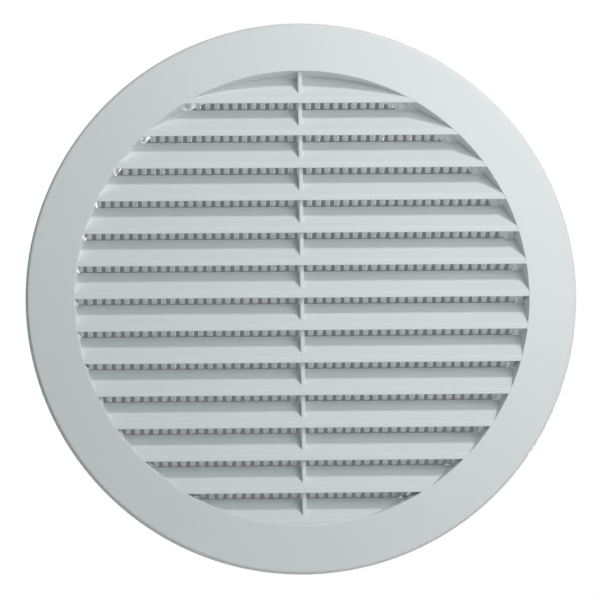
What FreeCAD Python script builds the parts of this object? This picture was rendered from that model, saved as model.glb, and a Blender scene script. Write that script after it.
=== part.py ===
import FreeCAD, Part
import os

import Sketcher

# Round louvred vent cover, one plastic moulding, in millimetres.
# It stands as it hangs on a wall: Z is up, the front faces -Y and the wall plane is Y = 0.
# The origin is the point where the collar's axis meets the wall plane.

doc = FreeCAD.newDocument("vent_cover")
sheet = doc.addObject("Spreadsheet::Sheet", "Sizes")

# Sizes that can be set by themselves
own_sizes = [
    ("collar_diameter", "124.4", "outside of the collar, for a duct of 125 mm bore"),
    ("collar_wall", "1.5", "wall of the collar"),
    ("collar_length", "20", "how far the collar stands behind the wall plane"),
    ("collar_lead_in", "0.6", "bevel on the collar's end"),
    ("rim_overlap", "12.8", "how far the rim covers the wall round the collar"),
    ("rim_height", "7", "front edge of the opening in front of the wall plane"),
    ("rim_fall", "1.2", "how far the rim falls back from the opening to its outer edge"),
    ("rim_skin", "2", "thickness of the rim over its hollow back"),
    ("rim_bevel_width", "1", "bevel on the rim's outer edge, along its face"),
    ("rim_bevel_depth", "1.2", "bevel on the rim's outer edge, along its side"),
    ("skirt_width", "1.8", "rim's outer foot on the wall"),
    ("root_width", "2", "rim's inner foot on the wall, round the collar"),
    ("opening_flare", "1.2", "how far the opening widens from the collar's bore to its front edge"),
    ("blade_pitch", "8.84", "from one blade to the next"),
    ("blade_depth", "6.5", "from the opening's front edge to the back of the blades"),
    ("lip_height", "1.7", "upright front face of a blade"),
    ("lip_setback", "0.1", "blade's front face behind the opening's front edge"),
    ("lip_radius", "0.5", "rounding where a lip turns into the blade's upper face"),
    ("sight_gap", "0.9", "open height between a lip and the back of the blade below"),
    ("top_seat", "0.12", "how far the top blade's back edge runs into the collar"),
    ("fin_pitch", "2.5", "from one guard fin to the next"),
    ("fin_width", "1.3", "thickness of a guard fin"),
    ("fin_setback", "0.3", "front of a guard fin behind the lip's face"),
    ("fin_clearance", "0.2", "open height between a guard fin and the blade below"),
    ("fin_back_inset", "0.25", "back of a guard fin in front of the back of the blades"),
    ("rib_width", "1.1", "thickness of the upright middle rib"),
    ("rib_setback", "1.3", "front of the middle rib behind the lips"),
    ("rib_back", "0.5", "how far the middle rib stands behind the blades"),
    ("sill_thickness", "1.8", "plate that closes the opening under the lowest lip"),
]

# Sizes that follow from them
following_sizes = [
    ("collar_radius", "=collar_diameter / 2", "outside of the collar"),
    ("collar_bore_radius", "=collar_radius - collar_wall", "inside of the collar"),
    ("opening_radius", "=collar_bore_radius + opening_flare", "opening's front edge"),
    ("rim_radius", "=collar_radius + rim_overlap", "outer edge of the rim"),
    ("root_radius", "=collar_radius + root_width", "outside of the inner foot"),
    ("skirt_radius", "=rim_radius - skirt_width", "inside of the outer foot"),
    ("rim_edge", "=rim_fall - rim_height", "front of the rim at its outer bevel"),
    ("hollow_floor", "=rim_edge + rim_skin", "floor of the hollow behind the rim"),
    ("lip_plane", "=lip_setback - rim_height", "front face of the blades"),
    ("blade_back", "=blade_depth - rim_height", "back of the blades"),
    ("blade_rise", "=blade_pitch - lip_height - sight_gap", "how far a blade climbs to its back"),
    ("blade_climb", "=blade_rise / (blade_back - lip_plane)", "climb for each millimetre of depth"),
    ("blade_root", "=collar_wall / 2", "how far a blade's ends run into the wall"),
    ("top_line", "=collar_bore_radius + sight_gap + top_seat", "lip line above the top blade"),
    ("blade_count", "=floor((top_line + opening_radius + lip_height) / blade_pitch)", "number of blades"),
    ("top_lip", "=top_line - blade_pitch", "underside of the top blade's lip"),
    ("low_lip", "=top_line - blade_count * blade_pitch", "underside of the lowest lip"),
    ("fin_half_count", "=floor(collar_bore_radius / fin_pitch)", "fins on each side of the middle"),
    ("fin_front", "=lip_plane + fin_setback", "front of the guard fins"),
    ("fin_front_base", "=top_lip + fin_setback * blade_climb", "blade's underside above a fin's front"),
    ("fin_back", "=blade_back - fin_back_inset", "back of the guard fins"),
    ("fin_back_base", "=top_lip + blade_rise - fin_back_inset * blade_climb", "underside above its back"),
    ("fin_foot", "=fin_back_base + lip_height + fin_clearance - blade_pitch", "lowest point of a fin"),
    ("rib_front", "=lip_plane + rib_setback", "front of the middle rib"),
    ("sill_back", "=lip_plane + sill_thickness", "back of the sill"),
]

for row, (alias, value, note) in enumerate(own_sizes + following_sizes, start=1):
    sheet.set("A%d" % row, alias)
    sheet.set("B%d" % row, value)
    sheet.set("C%d" % row, note)
    sheet.setAlias("B%d" % row, alias)
doc.recompute()


def origin_part(body, role):
    for feature in body.Origin.OriginFeatures:
        if feature.Role == role:
            return feature
    raise ValueError("no origin part " + role)


def draw(body, role, name, corners):
    """Sketch a closed outline on an origin plane of a body.

    A corner is two formulas on the sheet, and a third one if it is rounded.
    """
    sketch = body.newObject("Sketcher::SketchObject", name)
    sketch.AttachmentSupport = [(origin_part(body, role), "")]
    sketch.MapMode = "FlatFace"
    points = []
    for corner in corners:
        across, up = [float(sheet.evalExpression(text)) for text in corner[:2]]
        points.append(FreeCAD.Vector(across, up, 0))
    count = len(points)
    for i in range(count):
        sketch.addGeometry(Part.LineSegment(points[i], points[(i + 1) % count]), False)
    for i in range(count):
        sketch.addConstraint(Sketcher.Constraint("Coincident", i, 2, (i + 1) % count, 1))
    for i, corner in enumerate(corners):
        for axis, text, value in (("X", corner[0], points[i].x), ("Y", corner[1], points[i].y)):
            index = sketch.addConstraint(Sketcher.Constraint("Distance" + axis, -1, 1, i, 1, value))
            sketch.renameConstraint(index, "corner%d%s" % (i, axis))
            sketch.setExpression("Constraints.corner%d%s" % (i, axis), text)
    for i, corner in enumerate(corners):
        if len(corner) == 3:
            radius = float(sheet.evalExpression(corner[2]))
            sketch.fillet(i, 1, radius, True, True)
            arcs = [k for k, line in enumerate(sketch.Geometry) if isinstance(line, Part.ArcOfCircle)]
            index = sketch.addConstraint(Sketcher.Constraint("Radius", arcs[-1], radius))
            sketch.renameConstraint(index, "round%d" % i)
            sketch.setExpression("Constraints.round%d" % i, corner[2])
    doc.recompute()
    return sketch


def turn(body, sketch, name):
    turned = body.newObject("PartDesign::Revolution", name)
    turned.Profile = sketch
    turned.ReferenceAxis = (sketch, ["V_Axis"])
    turned.Angle = 360
    body.Tip = turned
    doc.recompute()
    return turned


def pad(body, sketch, name, length):
    padded = body.newObject("PartDesign::Pad", name)
    padded.Profile = sketch
    padded.SideType = "Symmetric"
    padded.setExpression("Length", length)
    body.Tip = padded
    doc.recompute()
    return padded


# Rim, opening wall and collar, turned about the collar's axis
surround = doc.addObject("PartDesign::Body", "Surround")
surround_section = draw(
    surround,
    "XY_Plane",
    "surround_section",
    [
        ("Sizes.opening_radius", "-Sizes.rim_height"),
        ("Sizes.rim_radius - Sizes.rim_bevel_width", "Sizes.rim_edge"),
        ("Sizes.rim_radius", "Sizes.rim_edge + Sizes.rim_bevel_depth"),
        ("Sizes.rim_radius", "0"),
        ("Sizes.skirt_radius", "0"),
        ("Sizes.skirt_radius", "Sizes.hollow_floor"),
        ("Sizes.root_radius", "Sizes.hollow_floor"),
        ("Sizes.root_radius", "0"),
        ("Sizes.collar_radius", "0"),
        ("Sizes.collar_radius", "Sizes.collar_length - Sizes.collar_lead_in"),
        ("Sizes.collar_radius - Sizes.collar_lead_in", "Sizes.collar_length"),
        ("Sizes.collar_bore_radius", "Sizes.collar_length"),
        ("Sizes.collar_bore_radius", "Sizes.blade_back"),
    ],
)
turn(surround, surround_section, "turned_surround")

# Blades, middle rib and sill, drawn wider than the opening
louvre = doc.addObject("PartDesign::Body", "Louvre")
blade_section = draw(
    louvre,
    "YZ_Plane",
    "blade_section",
    [
        ("Sizes.lip_plane", "Sizes.top_lip"),
        ("Sizes.lip_plane", "Sizes.top_lip + Sizes.lip_height", "Sizes.lip_radius"),
        ("Sizes.blade_back", "Sizes.top_lip + Sizes.lip_height + Sizes.blade_rise"),
        ("Sizes.blade_back", "Sizes.top_lip + Sizes.blade_rise"),
    ],
)
blade = pad(louvre, blade_section, "blade", "Sizes.rim_radius * 2")

blades = louvre.newObject("PartDesign::LinearPattern", "blades")
blades.Originals = [blade]
blades.Direction = (origin_part(louvre, "Z_Axis"), [""])
blades.Reversed = True
blades.setExpression("Length", "Sizes.blade_pitch * (Sizes.blade_count - 1)")
blades.setExpression("Occurrences", "Sizes.blade_count")
louvre.Tip = blades
doc.recompute()

rib_section = draw(
    louvre,
    "YZ_Plane",
    "rib_section",
    [
        ("Sizes.rib_front", "-Sizes.rim_radius"),
        ("Sizes.blade_back + Sizes.rib_back", "-Sizes.rim_radius"),
        ("Sizes.blade_back + Sizes.rib_back", "Sizes.rim_radius"),
        ("Sizes.rib_front", "Sizes.rim_radius"),
    ],
)
pad(louvre, rib_section, "middle_rib", "Sizes.rib_width")

sill_section = draw(
    louvre,
    "YZ_Plane",
    "sill_section",
    [
        ("Sizes.lip_plane", "-Sizes.rim_radius"),
        ("Sizes.sill_back", "-Sizes.rim_radius"),
        ("Sizes.sill_back", "Sizes.low_lip + Sizes.lip_height / 2"),
        ("Sizes.lip_plane", "Sizes.low_lip + Sizes.lip_height / 2"),
    ],
)
pad(louvre, sill_section, "sill", "Sizes.rim_radius * 2")

# Guard fins: a comb under each blade but the lowest, which the sill closes
guard = doc.addObject("PartDesign::Body", "Guard")
fin_section = draw(
    guard,
    "YZ_Plane",
    "fin_section",
    [
        ("Sizes.fin_front", "Sizes.fin_front_base + Sizes.lip_height / 4"),
        ("Sizes.fin_back", "Sizes.fin_foot"),
        ("Sizes.fin_back", "Sizes.fin_back_base + Sizes.lip_height / 2"),
        ("Sizes.fin_front", "Sizes.fin_front_base + Sizes.lip_height / 2"),
    ],
)
fin_section.setExpression("AttachmentOffset.Base.z", "-Sizes.fin_half_count * Sizes.fin_pitch")
fin = pad(guard, fin_section, "guard_fin", "Sizes.fin_width")

fins = guard.newObject("PartDesign::LinearPattern", "guard_fins")
fins.Originals = [fin]
fins.Refine = False
fins.Direction = (origin_part(guard, "X_Axis"), [""])
fins.setExpression("Length", "Sizes.fin_pitch * Sizes.fin_half_count * 2")
fins.setExpression("Occurrences", "Sizes.fin_half_count * 2 + 1")
fins.Direction2 = (origin_part(guard, "Z_Axis"), [""])
fins.Reversed2 = True
fins.setExpression("Length2", "Sizes.blade_pitch * (Sizes.blade_count - 2)")
fins.setExpression("Occurrences2", "Sizes.blade_count - 1")
guard.Tip = fins
doc.recompute()

# Space inside the opening, grown by the depth to which the louvre runs into the wall
space = doc.addObject("PartDesign::Body", "OpeningSpace")
space_section = draw(
    space,
    "XY_Plane",
    "space_section",
    [
        ("0", "-Sizes.rim_height"),
        ("Sizes.opening_radius + Sizes.blade_root", "-Sizes.rim_height"),
        ("Sizes.collar_bore_radius + Sizes.blade_root", "Sizes.blade_back"),
        ("Sizes.collar_bore_radius + Sizes.blade_root", "Sizes.collar_length"),
        ("0", "Sizes.collar_length"),
    ],
)
turn(space, space_section, "turned_space")

# The louvre is trimmed to the opening and joined to the surround as one moulding
trimmed = []
for body, name in ((louvre, "TrimmedLouvre"), (guard, "TrimmedGuard")):
    common = doc.addObject("Part::Common", name)
    common.Base = body
    common.Tool = space
    common.Refine = False
    trimmed.append(common)

cover = doc.addObject("Part::MultiFuse", "VentCover")
cover.Label = "louvred_vent_cover"
cover.Shapes = [surround] + trimmed
cover.Refine = True
cover.Placement = FreeCAD.Placement()
doc.recompute()

# Each piece is checked and written to its own file
for thing in doc.Objects:
    if "Invalid" in thing.State or "Error" in thing.State:
        raise RuntimeError("%s did not build" % thing.Name)

os.makedirs("parts", exist_ok=True)
for piece in [cover]:
    if piece.Shape.isNull() or not piece.Shape.isValid():
        raise RuntimeError("%s has no valid shape" % piece.Label)
    if len(piece.Shape.Solids) != 1:
        raise RuntimeError("%s is not one solid" % piece.Label)
    piece.Shape.exportStep("parts/%s.step" % piece.Label)
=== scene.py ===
import math

import bmesh
import bpy
from mathutils import Matrix, Quaternion, Vector


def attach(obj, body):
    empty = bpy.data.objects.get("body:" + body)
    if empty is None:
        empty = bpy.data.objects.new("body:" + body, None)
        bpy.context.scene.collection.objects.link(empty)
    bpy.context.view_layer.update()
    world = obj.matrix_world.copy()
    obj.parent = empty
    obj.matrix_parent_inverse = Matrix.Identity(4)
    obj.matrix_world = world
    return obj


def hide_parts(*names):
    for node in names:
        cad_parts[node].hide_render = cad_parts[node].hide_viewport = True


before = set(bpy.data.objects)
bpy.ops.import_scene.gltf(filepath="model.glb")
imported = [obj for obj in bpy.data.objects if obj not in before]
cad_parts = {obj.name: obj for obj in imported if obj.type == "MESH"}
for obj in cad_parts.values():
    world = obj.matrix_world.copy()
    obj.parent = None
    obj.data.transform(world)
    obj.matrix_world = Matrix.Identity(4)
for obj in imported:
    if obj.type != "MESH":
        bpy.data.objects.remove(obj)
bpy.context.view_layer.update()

# Round louvred vent cover in satin plastic. It hangs as on a wall: Z is up, the front faces -Y
# and the wall plane is Y = 0. Sizes are in millimetres, as in the part's source.
MM = 0.001

COLLAR_RADIUS = 62.2
COLLAR_BORE = 60.7
COLLAR_LENGTH = 20.0
OPENING_RADIUS = 61.9
RIM_RADIUS = 75.0
RIM_FRONT = -7.0
RIM_EDGE = -5.8
HOLLOW_FLOOR = -3.8
SKIRT_RADIUS = 73.2
ROOT_RADIUS = 64.2
WALL_BITE = 0.75

BLADE_PITCH = 8.84
BLADE_COUNT = 14
BLADE_FRONT = -6.9
BLADE_BACK = -0.5
BLADE_RISE = 6.24
BLADE_CLIMB = BLADE_RISE / (BLADE_BACK - BLADE_FRONT)
LIP_HEIGHT = 1.7
TOP_LIP = 52.88
LOW_LIP = TOP_LIP - (BLADE_COUNT - 1) * BLADE_PITCH

FIN_PITCH = 2.5
FIN_HALF_COUNT = 24
FIN_WIDTH = 1.3
FIN_FRONT = -6.6
FIN_BACK = -0.75
FIN_CLEARANCE = 0.2
FIN_EDGE = 0.22
FIN_EDGE_STEPS = 3

RIB_WIDTH = 1.1
RIB_FRONT = -5.6
RIB_BACK = 0.0
SILL_BACK = -5.1

# Roundings of the edges
OPENING_ROUND = 0.12
RIM_ROUND = 1.0
RIM_ROUND_DROP = 0.1
FOOT_ROUND = 0.25
HOLLOW_ROUND = 0.6
COLLAR_ROOT_ROUND = 0.2
COLLAR_LEAD_ROUND = 0.5
COLLAR_BORE_ROUND = 0.3
LIP_FOOT_ROUND = 0.15
LIP_ROUND = 0.5
BLADE_BACK_ROUND = 0.2
RIB_ROUND = 0.25

TURN_SIDES = 288
ROUND_STEPS = 6
WELD = 0.001
SHARP_ANGLE = 32


# Mesh making
def rounded_outline(corners, steps=ROUND_STEPS):
    """Points of a closed outline, from corners given as (across, up, radius of the rounding)."""
    outline = []
    for i, (across, up, radius) in enumerate(corners):
        corner = Vector((across, up))
        if radius == 0:
            outline.append(corner)
            continue
        back = (Vector(corners[i - 1][:2]) - corner).normalized()
        on = (Vector(corners[(i + 1) % len(corners)][:2]) - corner).normalized()
        half = back.angle(on) / 2
        centre = corner + (back + on).normalized() * (radius / math.sin(half))
        start = corner + back * (radius / math.tan(half)) - centre
        end = corner + on * (radius / math.tan(half)) - centre
        sweep = math.atan2(start.x * end.y - start.y * end.x, start.dot(end))
        for step in range(steps + 1):
            outline.append(centre + Matrix.Rotation(sweep * step / steps, 2) @ start)
    return outline


def add_point(mesh, point, side):
    """A corner of a turned form: a (radius, depth) point, at one of the sides of its circle."""
    angle = 2 * math.pi * side / TURN_SIDES
    return mesh.verts.new((point[0] * math.cos(angle) * MM, point[1] * MM, point[0] * math.sin(angle) * MM))


def add_turned(mesh, outline):
    """A ring about the Y axis, from an outline of (radius, depth)."""
    rings = [[add_point(mesh, point, side) for point in outline] for side in range(TURN_SIDES)]
    for ring, following in zip(rings, rings[1:] + rings[:1]):
        for i in range(len(outline)):
            mesh.faces.new((ring[i - 1], ring[i], following[i], following[i - 1]))


def add_drum(mesh, outline):
    """A solid turned about the Y axis, from (radius, depth) points that run from front to back."""
    rings = [[add_point(mesh, point, side) for side in range(TURN_SIDES)] for point in outline]
    add_skin(mesh, rings)


def add_skin(mesh, layers):
    """Closes a solid whose outlines lie in layers, each with as many corners as the next."""
    for layer, following in zip(layers, layers[1:]):
        for i in range(len(layer)):
            mesh.faces.new((layer[i - 1], layer[i], following[i], following[i - 1]))
    mesh.faces.new(layers[0])
    mesh.faces.new(layers[-1])


def add_bar(mesh, outline, lift=0.0):
    """A straight bar along X, past the opening on both sides, from an outline of (depth, height)."""
    add_skin(mesh, [
        [mesh.verts.new((across * MM, p.x * MM, (p.y + lift) * MM)) for p in outline]
        for across in (-RIM_RADIUS, RIM_RADIUS)
    ])


def add_fin(mesh, across, lift):
    """One guard fin under a blade: a three-cornered web whose sloping lower edge is rounded off."""
    front_base = TOP_LIP + (FIN_FRONT - BLADE_FRONT) * BLADE_CLIMB + lift
    back_base = TOP_LIP + (FIN_BACK - BLADE_FRONT) * BLADE_CLIMB + lift
    front = front_base + LIP_HEIGHT / 4
    foot = back_base + LIP_HEIGHT + FIN_CLEARANCE - BLADE_PITCH
    edge = []
    for step in range(FIN_EDGE_STEPS + 1):
        turn = math.pi / 2 * step / FIN_EDGE_STEPS
        edge.append((FIN_WIDTH / 2 - FIN_EDGE * (1 - math.cos(turn)), FIN_EDGE * (1 - math.sin(turn))))
    layers = []
    for side, raised in [(-width, inset) for width, inset in edge] + edge[::-1]:
        layers.append([
            mesh.verts.new(((across + side) * MM, depth * MM, height * MM))
            for depth, height in (
                (FIN_FRONT, front + raised),
                (FIN_BACK, foot + raised),
                (FIN_BACK, back_base + LIP_HEIGHT / 2),
                (FIN_FRONT, front_base + LIP_HEIGHT / 2),
            )
        ])
    add_skin(mesh, layers)


def solid(name, mesh):
    bmesh.ops.recalc_face_normals(mesh, faces=mesh.faces)
    data = bpy.data.meshes.new(name)
    mesh.to_mesh(data)
    mesh.free()
    made = bpy.data.objects.new(name, data)
    bpy.context.scene.collection.objects.link(made)
    return made


def combine(kept, operation, tool):
    """Joins or trims a solid by another one, which is used up."""
    step = kept.modifiers.new(operation.lower(), "BOOLEAN")
    step.operation = operation
    step.solver = "MANIFOLD"
    step.object = tool
    evaluated = kept.evaluated_get(bpy.context.evaluated_depsgraph_get())
    result = bpy.data.meshes.new_from_object(evaluated)
    kept.modifiers.clear()
    spent = [kept.data, tool.data]
    kept.data = result
    bpy.data.objects.remove(tool)
    for data in spent:
        bpy.data.meshes.remove(data)


def weld_slivers(data):
    """Closes up the hair-thin faces that joining and trimming leave."""
    mesh = bmesh.new()
    mesh.from_mesh(data)
    bmesh.ops.remove_doubles(mesh, verts=mesh.verts, dist=WELD * MM)
    bmesh.ops.dissolve_degenerate(mesh, edges=mesh.edges, dist=WELD * MM)
    mesh.to_mesh(data)
    mesh.free()


# Rim, opening wall and collar
def make_surround():
    mesh = bmesh.new()
    add_turned(mesh, rounded_outline([
        (OPENING_RADIUS, RIM_FRONT, OPENING_ROUND),
        (RIM_RADIUS, RIM_EDGE + RIM_ROUND_DROP, RIM_ROUND),
        (RIM_RADIUS, 0.0, FOOT_ROUND),
        (SKIRT_RADIUS, 0.0, FOOT_ROUND),
        (SKIRT_RADIUS, HOLLOW_FLOOR, HOLLOW_ROUND),
        (ROOT_RADIUS, HOLLOW_FLOOR, HOLLOW_ROUND),
        (ROOT_RADIUS, 0.0, FOOT_ROUND),
        (COLLAR_RADIUS, 0.0, COLLAR_ROOT_ROUND),
        (COLLAR_RADIUS, COLLAR_LENGTH, COLLAR_LEAD_ROUND),
        (COLLAR_BORE, COLLAR_LENGTH, COLLAR_BORE_ROUND),
        (COLLAR_BORE, BLADE_BACK, 0.0),
    ]))
    return solid("vent_cover", mesh)


def make_trim():
    mesh = bmesh.new()
    add_drum(mesh, [
        (OPENING_RADIUS + WALL_BITE, RIM_FRONT),
        (COLLAR_BORE + WALL_BITE, BLADE_BACK),
        (COLLAR_BORE + WALL_BITE, COLLAR_LENGTH),
    ])
    return solid("opening_space", mesh)


def make_blades():
    mesh = bmesh.new()
    outline = rounded_outline([
        (BLADE_FRONT, TOP_LIP, LIP_FOOT_ROUND),
        (BLADE_FRONT, TOP_LIP + LIP_HEIGHT, LIP_ROUND),
        (BLADE_BACK, TOP_LIP + LIP_HEIGHT + BLADE_RISE, BLADE_BACK_ROUND),
        (BLADE_BACK, TOP_LIP + BLADE_RISE, BLADE_BACK_ROUND),
    ])
    for i in range(BLADE_COUNT):
        add_bar(mesh, outline, -i * BLADE_PITCH)
    return solid("blades", mesh)


def make_fins():
    mesh = bmesh.new()
    for row in range(BLADE_COUNT - 1):
        for place in range(-FIN_HALF_COUNT, FIN_HALF_COUNT + 1):
            add_fin(mesh, place * FIN_PITCH, -row * BLADE_PITCH)
    return solid("guard_fins", mesh)


def make_rib():
    mesh = bmesh.new()
    half = RIB_WIDTH / 2
    outline = rounded_outline([
        (-half, RIB_FRONT, RIB_ROUND),
        (half, RIB_FRONT, RIB_ROUND),
        (half, RIB_BACK, RIB_ROUND),
        (-half, RIB_BACK, RIB_ROUND),
    ])
    add_skin(mesh, [
        [mesh.verts.new((p.x * MM, p.y * MM, height * MM)) for p in outline]
        for height in (-RIM_RADIUS, RIM_RADIUS)
    ])
    return solid("middle_rib", mesh)


def make_sill():
    mesh = bmesh.new()
    top = LOW_LIP + LIP_HEIGHT / 2
    outline = [
        Vector((BLADE_FRONT, -RIM_RADIUS)),
        Vector((SILL_BACK, -RIM_RADIUS)),
        Vector((SILL_BACK, top)),
        Vector((BLADE_FRONT, top)),
    ]
    add_bar(mesh, outline)
    return solid("sill", mesh)


def make_cover():
    cover = make_surround()
    for make_piece in (make_blades, make_fins, make_rib, make_sill):
        piece = make_piece()
        combine(piece, "INTERSECT", make_trim())
        combine(cover, "UNION", piece)
    data = cover.data
    weld_slivers(data)
    data.shade_smooth()
    data.set_sharp_from_angle(angle=math.radians(SHARP_ANGLE))
    weigh = cover.modifiers.new("even_faces", "WEIGHTED_NORMAL")
    weigh.mode = "FACE_AREA"
    weigh.keep_sharp = True
    return cover


# Materials
class Signal:
    """An output socket in a node tree. Reckoning with it adds Math nodes to the tree."""

    def __init__(self, tree, socket=None):
        self.tree = tree
        self.socket = socket

    def node(self, kind, settings=None, inputs=None, output=0):
        made = self.tree.nodes.new(kind)
        for name, value in (settings or {}).items():
            setattr(made, name, value)
        for name, value in (inputs or {}).items():
            if isinstance(value, Signal):
                self.tree.links.new(value.socket, made.inputs[name])
            else:
                made.inputs[name].default_value = value
        return Signal(self.tree, made.outputs[output] if made.outputs else None)

    def reckon(self, operation, first, second):
        return self.node("ShaderNodeMath", {"operation": operation}, {0: first, 1: second})

    def __add__(self, other):
        return self.reckon("ADD", self, other)

    def __radd__(self, other):
        return self.reckon("ADD", other, self)

    def __sub__(self, other):
        return self.reckon("SUBTRACT", self, other)

    def __rsub__(self, other):
        return self.reckon("SUBTRACT", other, self)

    def __mul__(self, other):
        return self.reckon("MULTIPLY", self, other)

    def __rmul__(self, other):
        return self.reckon("MULTIPLY", other, self)


def new_tree(owner):
    owner.use_nodes = True
    owner.node_tree.nodes.clear()
    return Signal(owner.node_tree)


def blend_colours(tree, share, first, second):
    return tree.node(
        "ShaderNodeMix",
        {"data_type": "RGBA"},
        {"Factor": share, 6: first, 7: second},
        output=2,
    )


def satin_plastic():
    material = bpy.data.materials.new("vent_plastic")
    tree = new_tree(material)
    place = tree.node("ShaderNodeTexCoord", output=3)
    flow = tree.node(
        "ShaderNodeTexNoise",
        inputs={"Vector": place, "Scale": 38.0, "Detail": 2.0, "Roughness": 0.5},
    )
    grain = tree.node(
        "ShaderNodeTexNoise",
        inputs={"Vector": place, "Scale": 2600.0, "Detail": 2.0, "Roughness": 0.6},
    )
    colour = blend_colours(tree, flow, (0.755, 0.785, 0.784, 1), (0.775, 0.805, 0.804, 1))
    bump = tree.node(
        "ShaderNodeBump",
        inputs={"Strength": 0.25, "Distance": 0.00003, "Height": grain},
    )
    plastic = tree.node(
        "ShaderNodeBsdfPrincipled",
        inputs={
            "Base Color": colour,
            "Roughness": flow * 0.10 + grain * 0.06 + 0.40,
            "Normal": bump,
        },
    )
    tree.node("ShaderNodeOutputMaterial", inputs={"Surface": plastic})
    return material


# The moulding
cover = make_cover()
cover.data.materials.clear()
cover.data.materials.append(satin_plastic())
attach(cover, "root")
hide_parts("louvred_vent_cover")


# Stage, in metres
FILL_COLOUR = (0.138, 0.159, 0.161, 1)
FLOOR_LEVEL = -0.25
FLOOR_HALF = 3.0
LAMP_AIM = (0, -0.005, 0)
BACK_AIM = (0, 0.010, 0)


def seen_rays(tree):
    """1 for the rays that see the backdrop, in the picture, in a reflection or through the part."""
    path = tree.node("ShaderNodeLightPath").socket.node.outputs
    kinds = ("Is Camera Ray", "Is Glossy Ray", "Is Transmission Ray")
    seen, glossy, through = [Signal(tree.tree, path[kind]) for kind in kinds]
    return seen + glossy + through


def plain_floor():
    material = bpy.data.materials.new("white_floor")
    tree = new_tree(material)
    paint = tree.node("ShaderNodeBsdfDiffuse", inputs={"Color": (0.9, 0.9, 0.9, 1)})
    glow = blend_colours(tree, seen_rays(tree), (0, 0, 0, 1), (0.76, 0.76, 0.76, 1))
    lifted = tree.node("ShaderNodeEmission", inputs={"Color": glow})
    both = tree.node("ShaderNodeAddShader", inputs={0: paint, 1: lifted})
    tree.node("ShaderNodeOutputMaterial", inputs={"Surface": both})
    mesh = bmesh.new()
    bmesh.ops.create_grid(mesh, x_segments=1, y_segments=1, size=FLOOR_HALF)
    floor = solid("floor", mesh)
    floor.location.z = FLOOR_LEVEL
    floor.data.materials.append(material)


def duct_shade():
    """Painted shade for the unlit duct behind the blades: a disc in the collar that glows a fixed deep grey,
    seen only from the front.
    """
    material = bpy.data.materials.new("duct_shade")
    tree = new_tree(material)
    seen = tree.node("ShaderNodeLightPath", output="Is Camera Ray")
    behind = tree.node("ShaderNodeNewGeometry", output="Backfacing")
    # painted shade: a fixed deep grey glow stands in for the shade inside the duct
    painted_shade = tree.node("ShaderNodeEmission", inputs={"Color": (0.15, 0.155, 0.155, 1)})
    clear = tree.node("ShaderNodeBsdfTransparent")
    mixed = tree.node("ShaderNodeMixShader", inputs={0: seen * (1 - behind), 1: clear, 2: painted_shade})
    tree.node("ShaderNodeOutputMaterial", inputs={"Surface": mixed})
    mesh = bmesh.new()
    bmesh.ops.create_circle(mesh, cap_ends=True, segments=96, radius=(COLLAR_BORE - 0.1) * MM)
    disc = solid("duct_shade", mesh)
    disc.data.transform(Matrix.Rotation(math.radians(90), 4, "X"))
    disc.data.transform(Matrix.Translation((0, (COLLAR_LENGTH - 1) * MM, 0)))
    disc.data.materials.append(material)


def studio_world():
    world = bpy.data.worlds.new("studio")
    bpy.context.scene.world = world
    tree = new_tree(world)
    colour = blend_colours(tree, seen_rays(tree), FILL_COLOUR, (1, 1, 1, 1))
    sky = tree.node("ShaderNodeBackground", inputs={"Color": colour, "Strength": 1.0})
    tree.node("ShaderNodeOutputWorld", inputs={"Surface": sky})


def soft_lamp(name, aim, toward, distance, size, power, spread=180):
    light = bpy.data.lights.new(name, "AREA")
    light.shape = "DISK"
    light.size = size
    light.energy = power
    light.spread = math.radians(spread)
    lamp = bpy.data.objects.new(name, light)
    direction = Vector(toward).normalized()
    lamp.location = Vector(aim) + direction * distance
    lamp.rotation_mode = "QUATERNION"
    lamp.rotation_quaternion = direction.to_track_quat("Z", "Y")
    bpy.context.scene.collection.objects.link(lamp)


def set_camera(azimuth, elevation, roll, distance, width, aim):
    camera = bpy.data.objects.new("camera", bpy.data.cameras.new("camera"))
    bpy.context.scene.collection.objects.link(camera)
    turn = math.radians(azimuth)
    rise = math.radians(elevation)
    back = Vector((math.sin(turn) * math.cos(rise), -math.cos(turn) * math.cos(rise), math.sin(rise)))
    camera.location = Vector(aim) + back * distance
    camera.rotation_mode = "QUATERNION"
    tilt = Quaternion((0, 0, 1), math.radians(roll))
    camera.rotation_quaternion = (-back).to_track_quat("-Z", "Y") @ tilt
    camera.data.sensor_width = 36.0
    camera.data.lens = camera.data.sensor_width * distance / width
    camera.data.clip_start = 0.01
    camera.data.clip_end = 20.0
    bpy.context.scene.camera = camera


plain_floor()
duct_shade()
studio_world()
soft_lamp("side_lamp", LAMP_AIM, toward=(0.45, -0.87, 0.20), distance=0.45, size=0.35, power=0.85)
soft_lamp("top_lamp", LAMP_AIM, toward=(0.40, -0.57, 0.72), distance=0.50, size=0.10, power=0.87)
soft_lamp("back_lamp", BACK_AIM, toward=(0.50, 0.86, -0.10), distance=0.80, size=0.25, power=0.32, spread=50)
set_camera(
    azimuth=-4.0,
    elevation=-3.2,
    roll=-0.62,
    distance=1.8,
    width=0.1631,
    aim=(-0.00055, -0.005, -0.00047),
)

bpy.context.scene.view_settings.view_transform = "Standard"
